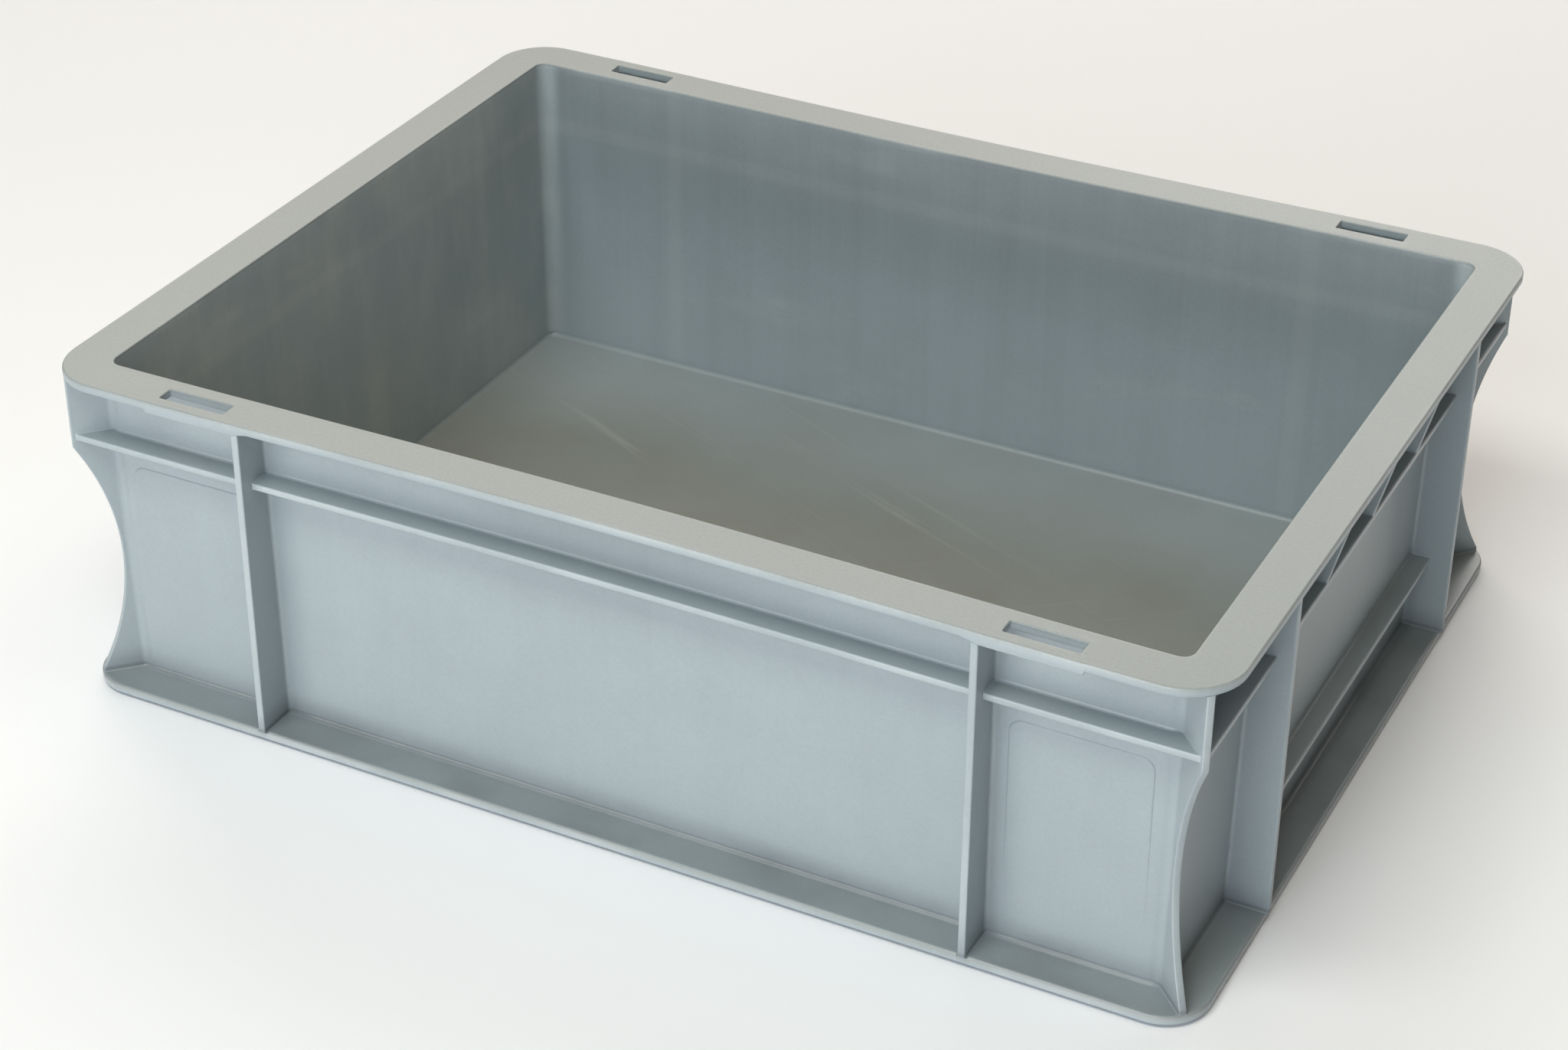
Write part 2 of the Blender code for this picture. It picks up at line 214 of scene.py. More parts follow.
# The floor's plastic, which every other piece shares: light grey polypropylene with a soft gloss, a little
# cloudy and streaked by the mould. Use has scratched and dusted the floor, hazed the short walls and worn the
# edges paler. Light and shade are painted in too: highlights on the edges, shade above the flange and at the
# floor's front, and lighter inner walls.
class Shade:
    """A socket of a material. Arithmetic on it, with numbers or with other sockets, adds Math nodes."""

    def __init__(self, tree, socket=None):
        self.tree, self.socket = tree, socket

    def node(self, kind, settings, inputs, output=0):
        """One output of a new node: its settings made first, then its sockets given values or links."""
        made = self.tree.nodes.new(kind)
        for key, value in settings.items():
            setattr(made, key, value)
        for key, value in inputs.items():
            if isinstance(value, Shade):
                self.tree.links.new(value.socket, made.inputs[key])
            else:
                made.inputs[key].default_value = value
        return Shade(self.tree, made.outputs[output])

    def maths(self, operation, first, second=0.0):
        """The result of a Math node on one or two values."""
        return self.node("ShaderNodeMath", {"operation": operation}, {0: first, 1: second})

    def __add__(self, other):
        return self.maths("ADD", self, other)

    def __radd__(self, other):
        return self.maths("ADD", other, self)

    def __sub__(self, other):
        return self.maths("SUBTRACT", self, other)

    def __rsub__(self, other):
        return self.maths("SUBTRACT", other, self)

    def __mul__(self, other):
        return self.maths("MULTIPLY", self, other)

    def __rmul__(self, other):
        return self.maths("MULTIPLY", other, self)

    def __abs__(self):
        return self.maths("ABSOLUTE", self)

    def between(self, low, high):
        """0 up to low and 1 from high, with a smooth step between; the other way if low is the larger."""
        limits = {"Value": self, "From Min": low, "From Max": high}
        return self.node("ShaderNodeMapRange", {"interpolation_type": "SMOOTHSTEP"}, limits)

    def band(self, middle, half, soft):
        """1 within half of the middle, falling to 0 over the soft distance."""
        return abs(self - middle).between(half + soft, half)

    def noise(self, waves, detail=2.0, roughness=0.5):
        """Noise over this position, with so many waves to the metre: one number, or one along each axis."""
        waves = waves if isinstance(waves, tuple) else (waves, waves, waves)
        place = self.node("ShaderNodeVectorMath", {"operation": "MULTIPLY"}, {0: self, 1: waves})
        inputs = {"Vector": place, "Scale": 1.0, "Detail": detail, "Roughness": roughness}
        return self.node("ShaderNodeTexNoise", {}, inputs)

    def turned_by(self, degrees):
        """This position turned about the upright axis."""
        angles = (0, 0, np.radians(degrees))
        return self.node("ShaderNodeMapping", {}, {"Vector": self, "Rotation": angles})


def mixed(factor, first, second):
    """The colour between two colours at the factor."""
    return factor.node("ShaderNodeMix", {"data_type": "RGBA"}, {0: factor, 6: first, 7: second}, 2)


rim_underside = float(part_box("rim_right")[0][2])
short_rib_at = box_middle("rib_right_back", 1)
belt_level = box_middle("belt_right_middle", 2)
grey = (0.27, 0.315, 0.335, 1)
chalky_and_painted_light = (0.42, 0.45, 0.44, 1)
dust_and_shade_brown = (0.200, 0.188, 0.148, 1)
edge_wear_and_highlight_grey = (0.42, 0.46, 0.475, 1)
finish_blend = 0.0008  # over how far one finish passes into the next
skin = 0.0002  # a finish still counts this far off its face
wall_zone = 0.020  # a wall's inner face stands less than this in from the rim's outline
sink_half_width = 0.0012
belt_sink_blend, rib_sink_blend = 0.0030, 0.0040
front_shade_from, front_shade_to = half_width - 0.035, half_width - 0.100  # the floor's front part is painted darker and browner, a painted shadow of the front wall

plastic = bpy.data.materials.new("crate_plastic")
plastic.use_nodes = True
start = Shade(plastic.node_tree)
position = start.node("ShaderNodeTexCoord", {}, {}, "Object")
x, y, z = (start.node("ShaderNodeSeparateXYZ", {}, {"Vector": position}, axis) for axis in "XYZ")
edge_wear_and_highlight = start.node("ShaderNodeAttribute", {"attribute_name": "wear_and_highlight"}, {}, "Fac")
from_middle_x, from_middle_y, above_floor, above_flange = abs(x), abs(y), z - floor_top, z - flange_top

# Where each finish lies.
upright = above_floor.between(0, 0.004) * z.between(height - 0.0003, height - 0.0010)
on_rim = z.between(rim_underside + 0.0015, rim_underside + 0.0020)
on_floor = above_floor.band(0, skin, finish_blend)
opening_x, opening_y = half_length - opening_inset + skin, half_width - opening_inset + skin
inside = from_middle_x.between(opening_x + finish_blend, opening_x)
inside = inside * from_middle_y.between(opening_y + finish_blend, opening_y)
inside_wall = inside * upright
zone_x, zone_y = half_length - wall_zone, half_width - wall_zone
short_wall = from_middle_x.between(zone_x - 0.005, zone_x) * inside_wall
long_wall = from_middle_y.between(zone_y - 0.005, zone_y) * inside_wall
front_wall_shadow = y.between(front_shade_from, front_shade_to)

# The plastic itself: clouds, patches, specks, the mould's draw marks, and sink bands opposite the ribs.
cloud = position.noise(14.0, 3.0) - 0.5
patch = position.noise(55.0, 4.0, 0.6) - 0.5
speckle = position.noise(900.0) - 0.5
draw = position.noise((260, 260, 5), 3.0, 0.6) - 0.5
broad_draw = position.noise((70, 70, 3)) - 0.5
belt_sink = z.band(belt_level, sink_half_width, belt_sink_blend) * inside_wall
long_sink = from_middle_x.band(long_rib_at, sink_half_width, rib_sink_blend) * long_wall
short_sink = from_middle_y.band(short_rib_at, sink_half_width, rib_sink_blend) * short_wall
sink_bands = belt_sink + long_sink + short_sink

# Use: rubbed places, scratches on floor and rim, scuffs and haze on the walls, and dust. Painted light and
# shade: shade above the flange and on the floor's front part, and lighter short walls inside.
rub = position.noise(22.0, 3.0).between(0.42, 0.66)
haze = position.noise((60, 60, 24), 4.0, 0.6).between(0.42, 0.70)
long_scratch = position.turned_by(24).noise((6, 150, 150), 4.0, 0.65).between(0.60, 0.74)
cross_scratch = position.turned_by(-38).noise((8, 220, 220), 4.0, 0.65).between(0.62, 0.76)
wall_scuff = position.noise((16, 16, 60), 5.0, 0.65).between(0.52, 0.75)
scuffs_and_painted_light = (long_scratch + cross_scratch) * (0.30 * on_floor + 0.22 * on_rim) * (0.35 + 0.65 * rub)
scuffs_and_painted_light = scuffs_and_painted_light + wall_scuff * rub * inside_wall * 0.40 + sink_bands * 0.15
# The short walls' insides: real haze and scuffs, and painted light making them lighter all over.
scuffs_and_painted_light = scuffs_and_painted_light + short_wall * (0.10 + rub * 0.24 + haze * 0.26)
# Dust on the floor, short walls and rim; on the floor's front part the same brown is a painted shadow of the
# front wall.
dust_and_front_shade = (0.02 + rub * 0.12 + front_wall_shadow * 0.42) * on_floor + short_wall * rub * 0.12 + on_rim * 0.22
# Painted shade in the corner above the flange: the wall darkens towards it, patchy with the rubbed places,
# most in the fillet's crease.
flange_corner_shade = above_flange.between(0.0100, 0.0005) * above_flange.between(-0.0012, -0.0002) * (0.6 + 0.4 * rub)
flange_crease_shade = above_flange.between(0.0022, 0.0010) * above_flange.between(0.00003, 0.0003)
flange_painted_shade = (flange_corner_shade + 0.6 * flange_crease_shade) * (1 - inside)

streaks = (draw + broad_draw) * 0.12 * upright * (0.3 + 0.7 * inside)
# Painted light inside: the long walls lighter low down and darker near the top, the short walls lighter; the
# floor a little lighter all over.
up_wall = z.between(floor_top, rim_underside)
inner_painted_light = inside_wall * (0.18 - 0.36 * up_wall * (1 - short_wall)) + 0.08 * on_floor
mottling = cloud * 0.10 + patch * 0.08 + speckle * (0.12 + 0.10 * on_rim)
tone = (1 + mottling + streaks + inner_painted_light) * (1 - 0.34 * flange_painted_shade)
colour = mixed(dust_and_front_shade, grey, dust_and_shade_brown)
colour = mixed(scuffs_and_painted_light, colour, chalky_and_painted_light)
# The edges are painted paler: partly wear, partly a painted highlight on their roundings.
colour = mixed(edge_wear_and_highlight * (0.12 + 0.38 * rub), colour, edge_wear_and_highlight_grey)
colour = start.node("ShaderNodeVectorMath", {"operation": "SCALE"}, {"Vector": colour, "Scale": tone})
roughness = 0.32 + patch * 0.08 + cloud * 0.05 + on_rim * 0.05 + on_floor * 0.09 + scuffs_and_painted_light * 0.25
grain = position.noise(1500.0) + draw * inside_wall * 0.5 + scuffs_and_painted_light * 0.12 + sink_bands * 0.3
bump = start.node("ShaderNodeBump", {}, {"Strength": 0.20, "Distance": 0.00008, "Height": grain})
for key, value in (("Base Color", colour), ("Roughness", roughness), ("Normal", bump)):
    plastic.node_tree.links.new(value.socket, plastic.node_tree.nodes["Principled BSDF"].inputs[key])


def grid_faces(rows, columns, close_rows, close_columns):
    """Quads (n, 4) of a grid of points numbered row by row, each direction closed in a loop or left open."""
    row = np.arange(rows if close_rows else rows - 1)[:, None]
    column = np.arange(columns if close_columns else columns - 1)[None, :]
    next_row, next_column = (row + 1) % rows, (column + 1) % columns
    here, next_up = row * columns, next_row * columns
    quads = (here + column, here + next_column, next_up + next_column, next_up + column)
    return np.stack(quads, axis=-1).reshape(-1, 4)


def add_piece(name, points, faces, wear_and_highlight=None):
    """A piece from points (n, 3), bowed, and its faces. Coincident points are joined and the faces turned
    outwards and made smooth, with edges past 35 degrees kept sharp. A point's painted wear and highlight go
    from 0 to 1."""
    data = bpy.data.meshes.new(name)
    data.from_pydata(bowed(points), [], faces)
    if wear_and_highlight is not None:
        attribute = data.attributes.new("wear_and_highlight", "FLOAT", "POINT")
        attribute.data.foreach_set("value", wear_and_highlight.ravel().astype(np.float32))
    mesh = bmesh.new()
    mesh.from_mesh(data)
    bmesh.ops.remove_doubles(mesh, verts=mesh.verts, dist=2e-7)
    bmesh.ops.recalc_face_normals(mesh, faces=mesh.faces)
    if not all(edge.is_manifold for edge in mesh.edges):
        raise ValueError(name + " has open edges")
    for face in mesh.faces:
        face.smooth = True
    mesh.to_mesh(data)
    mesh.free()
    data.set_sharp_from_angle(angle=np.radians(35))
    data.materials.append(plastic)
    piece = bpy.data.objects.new(name, data)
    bpy.context.scene.collection.objects.link(piece)
    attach(piece, "root")
    return piece


def add_ring(name, points, wear_and_highlight=None):
    """A piece from points (rows, columns, 3) whose rows and columns both close into loops."""
    return add_piece(name, points.reshape(-1, 3), grid_faces(*points.shape[:2], True, True).tolist(), wear_and_highlight)


def add_tube(name, points, wear_and_highlight=None):
    """A piece from points (rows, columns, 3) whose rows are loops, with the first and last filled in."""
    rows, columns = points.shape[:2]
    caps = [list(range(columns)), list(range((rows - 1) * columns, rows * columns))]
    faces = grid_faces(rows, columns, False, True).tolist() + caps
    return add_piece(name, points.reshape(-1, 3), faces, wear_and_highlight)


floor = add_tube("floor", floor_points)
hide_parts("floor_panel", *["foot_" + side for side in sides])


# The walls: four closed walls with draft and their rounded corners, moulded at one even thickness all round.
# They run from the floor's fillet and the flange's fillet up to the rim.
wall_thickness = 0.0026
wall_rows = 12
outer_corner_radius = tub_corner_radius + wall_thickness
rim_fillet = 0.0022
flange_fillet = 0.0013


def outer_inset(z):
    """How far the wall's outer face stands in from the rim's outline: the inner inset less the wall."""
    return inner_inset(z) - wall_thickness


inner_heights = np.linspace(rim_underside, wall_low, wall_rows)
outer_heights = np.linspace(flange_top + flange_fillet, rim_underside - rim_fillet, wall_rows)
inner_profile = np.stack((inner_inset(inner_heights), inner_heights), axis=-1)
outer_profile = np.stack((outer_inset(outer_heights), outer_heights), axis=-1)
wall_radius = np.repeat([tub_corner_radius, outer_corner_radius], wall_rows)
walls = add_ring("walls", carried_round(np.concatenate((inner_profile, outer_profile)), wall_radius))
tub_corners = ["wall_corner_" + corner for corner in ("front_left", "front_right", "back_left", "back_right")]
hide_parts(*["wall_" + side for side in sides], *tub_corners)


# The rim: a flat ledge with rounded edges, moulded onto the walls with a fillet below. Each long side has two
# open slots, and below its edge a thicker lip that runs from the upright rib to just past the slot.
rim_inner_rounding = 0.0004
rim_outer_rounding = 0.0007
rim_lower_rounding = 0.0004
rim_edge_rows = (0.0020, 0.0010)  # rows over which the outer edge's painted wear and highlight fade
edge_wear_and_highlight_reach = 0.0012
opening_wear_and_highlight_reach = 0.0008
# The slot linings are painted paler all over, as wear and as painted light.
slot_wear_and_highlight = 0.3
lip_depth = 0.0012
lip_width = 0.0031
lip_slope = 0.0003
lip_proud = 0.0001
lip_seam = rim_underside + rim_lower_rounding + 0.0002
slot_flat_share = 0.35  # of the margin round a slot, this much stays flat before its edge rounds over
slot_corner_radius = 0.0008
slot_rows = (slot_edge - slot_margin, slot_edge, slot_edge + slot_width, slot_edge + slot_width + slot_margin)
hair = 1e-7  # points nearer than this are in one place


def blended_radius(inset, first_inset, first_radius, last_inset, last_radius):
    """A corner's radius at an inset: from the first radius to the last in step with the inset."""
    share = np.clip((inset - first_inset) / (last_inset - first_inset), 0, 1)
    return first_radius + (last_radius - first_radius) * share


def in_band(values, low, high):
    """Where the values lie from low to high, give or take a hair."""
    return (values > low - hair) & (values < high + hair)


opening_round = (opening_inset - rim_inner_rounding, height - rim_inner_rounding)
edge_round = (rim_outer_rounding, height - rim_outer_rounding)
lower_round = (rim_lower_rounding, rim_underside + rim_lower_rounding)
fillet_centre = (outer_inset(rim_underside - rim_fillet) - rim_fillet, rim_underside - rim_fillet)
below_opening = height - rim_inner_rounding * 2
rim_profile = np.concatenate(
    (
        [(inner_inset(rim_underside), rim_underside), (inner_inset(below_opening), below_opening)],
        arc_profile(opening_round, rim_inner_rounding, 0, 90, 6),
        [(opening_round[0] - flat_row, height)],
        [(inset, height) for inset in slot_rows[::-1] + rim_edge_rows],
        arc_profile(edge_round, rim_outer_rounding, 90, 180, 8),
        [(0, lip_seam)],
        arc_profile(lower_round, rim_lower_rounding, 180, 270, 5),
        [(inset, rim_underside) for inset in (lip_width, lip_width + lip_slope) + slot_rows],
        arc_profile(fillet_centre, rim_fillet, 90, 0, 8),
    )
)
rim_inset, rim_z = rim_profile[:, 0], rim_profile[:, 1]
on_top = rim_z > (height + rim_underside) / 2
top_radius = blended_radius(rim_inset, 0, rim_corner_radius, opening_inset, tub_corner_radius)
low_radius = blended_radius(rim_inset, 0, rim_corner_radius, outer_inset(rim_underside), outer_corner_radius)
rim_radius = np.where(on_top, top_radius, low_radius)
rim_radius[0] = tub_corner_radius
rim_points = carried_round(rim_profile, rim_radius)
rim_rows, rim_columns = rim_points.shape[:2]

# The lip: where a long side's edge is thicker, its lowest rows drop and its edge rows stand proud.
from_middle = np.abs(rim_points[len(rim_profile) // 2, :, 0])
on_long_side = np.abs(np.abs(rim_points[:, :, 1]) - half_width + rim_inset[:, None]) < hair
on_lip = on_long_side & in_band(from_middle, lip_start, lip_end)[None, :]
low_row = in_band(rim_inset, 0, lip_width) & (rim_z < lip_seam + hair)
edge_row = in_band(rim_inset, 0, rim_outer_rounding / 2)
rim_points[..., 2] -= lip_depth * (on_lip & low_row[:, None])
rim_points[..., 1] += lip_proud * (on_lip & edge_row[:, None]) * np.sign(rim_points[..., 1])

# The slots: the faces over each slot and its margin are left out, and its rounded lining fills the margin.
rim_flat = rim_points.reshape(-1, 3)
face_grid = grid_faces(rim_rows, rim_columns, True, True)
face_middle = rim_flat[face_grid].mean(axis=1)
over_slot = in_band(np.abs(face_middle[:, 0]), slot_start - slot_margin, slot_end + slot_margin)
over_slot &= in_band(half_width - np.abs(face_middle[:, 1]), slot_rows[0], slot_rows[3])


def border_loop(sign_x, sign_y, z):
    """Numbers of the rim's points on the border of one slot's hole at height z, in order round it."""
    x, y = rim_flat[:, 0] * sign_x, half_width - rim_flat[:, 1] * sign_y
    ends, rows = (slot_start - slot_margin, slot_end + slot_margin), (slot_rows[0], slot_rows[3])
    over = in_band(x, *ends) & in_band(y, *rows) & in_band(rim_flat[:, 2], z, z)
    edge = in_band(x, ends[0], ends[0]) | in_band(x, ends[1], ends[1])
    edge |= in_band(y, rows[0], rows[0]) | in_band(y, rows[1], rows[1])
    chosen = np.flatnonzero(over & edge)
    return chosen[np.argsort(np.arctan2(y[chosen] - sum(rows) / 2, x[chosen] - sum(ends) / 2))]


def slot_outline(border, middle):
    """The slot's own outline opposite each point of its hole's border: the border shrunk by the margin, with
    its corners rounded by pulling them onto an arc."""
    half = np.array((slot_length / 2, slot_width / 2))
    local = (border[:, :2] - middle) * half / (half + slot_margin)
    core = np.clip(local, slot_corner_radius - half, half - slot_corner_radius)
    away = local - core
    distance = np.linalg.norm(away, axis=1, keepdims=True)
    corner = (np.abs(away) > 1e-9).all(axis=1, keepdims=True)
    return np.where(corner, core + away / np.maximum(distance, 1e-9) * slot_corner_radius, local) + middle


def slot_lining(top, bottom, outline):
    """Rows of points from the top border of a slot's hole, over its rounded edge, down its wall and over the
    lower edge to the bottom border. Each edge is a quarter turn: across by its sine, and down by 1 less its
    cosine."""
    turn = np.radians(np.linspace(0, 90, 6))[:, None, None]
    halves = []
    for border, z_sign in ((top, -1), (bottom, 1)):
        inwards = np.concatenate((outline, border[:, 2:3]), axis=1) - border
        edge = border + inwards * (slot_flat_share + (1 - slot_flat_share) * np.sin(turn))
        edge[..., 2] += z_sign * slot_margin * (1 - slot_flat_share) * (1 - np.cos(turn[..., 0]))
        halves.append(np.concatenate((border[None], edge)))
    return np.concatenate((halves[0], halves[1][::-1]))


rim_blocks, rim_faces = [rim_flat], [face_grid[~over_slot]]
for sign_x in (-1, 1):
    for sign_y in (-1, 1):
        middle = (sign_x * (slot_start + slot_end) / 2, sign_y * (half_width - slot_edge - slot_width / 2))
        bottom, top = (rim_flat[border_loop(sign_x, sign_y, z)] for z in (rim_underside, height))
        lining = slot_lining(top, bottom, slot_outline(top, middle))
        offset = sum(len(block) for block in rim_blocks)
        rim_faces.append(offset + grid_faces(*lining.shape[:2], False, True))
        rim_blocks.append(lining.reshape(-1, 3))
# The rim's outer edge and the opening's edge are painted paler, as wear and as a painted highlight.
rim_wear_and_highlight = np.maximum(1 - rim_inset / edge_wear_and_highlight_reach, (rim_inset - opening_inset) / opening_wear_and_highlight_reach + 1)
rim_wear_and_highlight = np.repeat(np.clip(rim_wear_and_highlight, 0, 1) * on_top, rim_columns)
rim_vertices = np.concatenate(rim_blocks)
rim_wear_and_highlight = np.append(rim_wear_and_highlight, np.full(len(rim_vertices) - rim_wear_and_highlight.size, slot_wear_and_highlight))
rim = add_piece("rim", rim_vertices, np.concatenate(rim_faces).tolist(), rim_wear_and_highlight)
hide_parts(*["rim_" + side for side in sides])


# The flange: a flat skirt round the base with a well rounded edge, moulded to the walls with a small fillet.
# Its edge is painted paler: partly wear from knocks, partly a painted highlight on its rounding.
flange_inset = half_length - float(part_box("flange_right")[1][0])
flange_corner_radius = 0.0155
flange_top_rounding = 0.0008
flange_low_rounding = 0.0004
flange_low_row = 0.0020
flange_root = outer_inset(flange_top + flange_fillet)
fillet_centre = (flange_root - flange_fillet, flange_top + flange_fillet)
top_round = (flange_inset + flange_top_rounding, flange_top - flange_top_rounding)
low_round = (flange_inset + flange_low_rounding, flange_underside + flange_low_rounding)
flange_profile = np.concatenate(
    (
        arc_profile(fillet_centre, flange_fillet, 0, -90, 6),
        [(top_round[0] + flat_row, flange_top)],
        arc_profile(top_round, flange_top_rounding, 90, 180, 8),
        arc_profile(low_round, flange_low_rounding, 180, 270, 5),
        [(flange_inset + flange_low_row, flange_underside), (underside_seam, flange_underside)],
    )
)
from_edge = flange_profile[:, 0] - flange_inset
flange_radius = blended_radius(
    from_edge, 0, flange_corner_radius, flange_root - flange_inset, outer_corner_radius
)
flange_points = carried_round(flange_profile, flange_radius)
flange_wear_and_highlight = np.repeat(np.clip(1 - from_edge / edge_wear_and_highlight_reach, 0, 1), flange_points.shape[1])
flange = add_ring("flange", flange_points, flange_wear_and_highlight)
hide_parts(*["flange_" + side for side in sides])


# The upright ribs: thin plates on the walls' outside from flange to rim, two on each side, moulded with
# fillets at their roots and ends and a rounded outer edge.
sink = 0.00002  # how far a plate's borders run into the faces they stand on
edge_rounding = 0.0005
edge_steps = np.array((1.3, 1, 0.7, 0.45, 0.25, 0.1, 0))  # places near a plate's edge, in roundings from it
rib_inset = 0.0003
rib_fillet = 0.0012
end_fillet = 0.0005
past_fillet = 1.15  # the last place near a fillet, in its radii
side_ends = {"front": ("left", "right"), "right": ("front", "back")}
side_ends.update({"back": ("right", "left"), "left": ("back", "front")})
rib_places = {"front": long_rib_at, "back": long_rib_at, "right": short_rib_at, "left": short_rib_at}
up = np.array((0.0, 0.0, 1.0))
flange_to_rim = ((flange_top * up, up), (rim_underside * up, -up))


def fillet_spread(radius):
    """Distances from a face, from just inside it, close together where a fillet leaves the face: the radius
    times 1 less the cosine of even turns."""
    turns = np.linspace(0, np.pi / 2, 8)
    return np.concatenate(([-sink], radius * (1 - np.cos(turns)), [radius * past_fillet]))


def along_plate(length, spacing):
    """Places along a plate from one end face to the other, close together at the ends' fillets."""
    start = fillet_spread(end_fillet)
    middle = spaced(start[-1], length - start[-1], spacing)[1:-1]
    return np.concatenate((start, middle, length - start[::-1]))


def rolled(distance, radius):
    """What a rolling-ball fillet adds at a distance d from its face: r - sqrt(r^2 - (r - d)^2)."""
    return radius - np.sqrt(np.maximum(0, radius**2 - np.maximum(0, radius - distance) ** 2))


def add_plate(name, node, root, edge, across, thickness, radius, ends, drop_radius=None):
    """A plate between a root line and an outer edge line (n, 3), standing on a wall and between two end faces
    (each a point and its normal). Half its thickness is t/2, plus a fillet to the wall and one to each end
    face, less the edge's rounding. On a rounded corner the root also drops away with the cylinder."""
    length = np.linalg.norm(edge - root, axis=1)[:, None]
    outwards = (edge - root) / length
    from_root = np.tile(fillet_spread(radius), (len(root), 1))
    reach = np.concatenate((from_root, length - edge_rounding * edge_steps), axis=1)
    middle = root[:, None, :] + outwards[:, None, :] * reach[..., None]
    half = thickness / 2 + rolled(reach, radius) - rolled(length - reach, edge_rounding)
    for point, normal in ends:
        half = half + rolled(((middle - point) * normal).sum(axis=-1), end_fillet)
    if drop_radius:
        drop = drop_radius - np.sqrt(drop_radius**2 - half**2)
        middle = middle - outwards[:, None, :] * (drop * np.clip(1 - reach / radius, 0, 1))[..., None]
    offset = across * half[..., None]
    # The rounded outer edge is painted paler, as wear and as a painted highlight.
    wear_and_highlight = np.clip(1 - (length - reach) / edge_rounding, 0, 1)
    points = np.concatenate((middle + offset, (middle - offset)[:, ::-1]), axis=1)
    piece = add_tube(name, points, np.concatenate((wear_and_highlight, wear_and_highlight[:, ::-1]), axis=1))
    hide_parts(node)


def on_side(side, u, v, z):
    """Points (n, 3) on a side from u, v and z, each a number or an array."""
    u, v, z = np.broadcast_arrays(u, v, z)
    return turned(np.stack((u, v, z), axis=-1).astype(float), sides[side])


z_along_rib = flange_top + along_plate(rim_underside - flange_top, column_spacing)
for side, rib_at in rib_places.items():
    size = half_sizes(side)[1]
    across = on_side(side, 1, 0, 0)
    for sign, end in zip((-1, 1), side_ends[side]):
        node = "rib_{}_{}".format(side, end)
        root = on_side(side, sign * rib_at, size - outer_inset(z_along_rib), z_along_rib)
        edge = on_side(side, sign * rib_at, size - rib_inset, z_along_rib)
        add_plate("upright_" + node, node, root, edge, across, rib_thickness, rib_fillet, flange_to_rim)


# The corner fins: an upright plate on each corner's diagonal, its outer edge hollowed by a long arc between
# the belt rib and the base, moulded with a wide fillet where it leaves the tub's rounded corner.
fin_fillet = 0.0019
fin_thickness = 0.0025
fin_spacing = 0.0022
fin_inset = 0.0001
fin_base_inset = 0.0009
fin_arc_depth = 0.0113
belt_underside, belt_top = (float(corner[2]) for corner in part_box("belt_right_middle"))
fin_arc_top = belt_underside - 0.0027
fin_arc_foot = flange_top + 0.0013
corners = {"front_left": (-1, -1), "front_right": (1, -1), "back_right": (1, 1), "back_left": (-1, 1)}


def fin_edge_inset(z):
    """How far the fin's outer edge stands in from the rim's corner arc at height z: a straight line, and
    between the belt and the base the sagitta of a circle through the arc's two ends."""
    half_chord = (fin_arc_top - fin_arc_foot) / 2
    radius = (half_chord**2 + fin_arc_depth**2) / (2 * fin_arc_depth)
    along = np.clip(z - fin_arc_foot - half_chord, -half_chord, half_chord)
    sagitta = fin_arc_depth - radius + np.sqrt(radius**2 - along**2)
    base = fin_base_inset * np.clip((fin_arc_top - z) / (fin_arc_top - fin_arc_foot), 0, 1)
    return fin_inset + sagitta + base


z_along_fin = flange_top + along_plate(rim_underside - flange_top, fin_spacing)
z_along_fin = np.unique(np.append(z_along_fin, (fin_arc_foot, fin_arc_top)))
corner_from_side = inner_inset(z_along_fin) + tub_corner_radius
for corner, (sign_x, sign_y) in corners.items():
    diagonal = np.array((sign_x, sign_y, 0)) / np.sqrt(2)
    across = np.array((-diagonal[1], diagonal[0], 0))
    tip = np.array((sign_x * half_length, sign_y * half_width, 0))
    tip = tip - diagonal * rim_corner_radius * (np.sqrt(2) - 1)
    edge = tip - diagonal * fin_edge_inset(z_along_fin)[:, None] + up * z_along_fin[:, None]
    centre_x, centre_y = sign_x * (half_length - corner_from_side), sign_y * (half_width - corner_from_side)
    root = np.stack((centre_x, centre_y, z_along_fin), axis=-1) + diagonal * outer_corner_radius
    name, node = "corner_fin_" + corner, "fin_" + corner
    add_plate(name, node, root, edge, across, fin_thickness, fin_fillet, flange_to_rim, outer_corner_radius)


# The belt ribs: level plates moulded a little below the rim, in three lengths on each side between the
# upright ribs and the corner fins, the end lengths following the tub's rounded corner.
belt_fillet = 0.0010
belt_inset = half_length - float(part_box("belt_right_middle")[1][0])
belt_thickness = belt_top - belt_underside
straight_turn = 0.85  # the share of a corner's turn with even places; the rest follow the fin's fillet


def add_level_plate(name, node, side, root, edge, level, thickness, ends):
    """A level plate on a side: root and edge lines, and the ends' points and normals, are each u and v."""
    ends = [(on_side(side, *point, 0), on_side(side, *normal, 0)) for point, normal in ends]
    root, edge = on_side(side, *root, level), on_side(side, *edge, level)
    add_plate(name, node, root, edge, up, thickness, belt_fillet, ends)


def between_ribs(rib_at):
    """The places along a level plate between a side's two upright ribs, and its two end faces."""
    rib_face = rib_at - rib_thickness / 2
    ends = (((-rib_face, 0), (1, 0)), ((rib_face, 0), (-1, 0)))
    return along_plate(2 * rib_face, column_spacing) - rib_face, ends


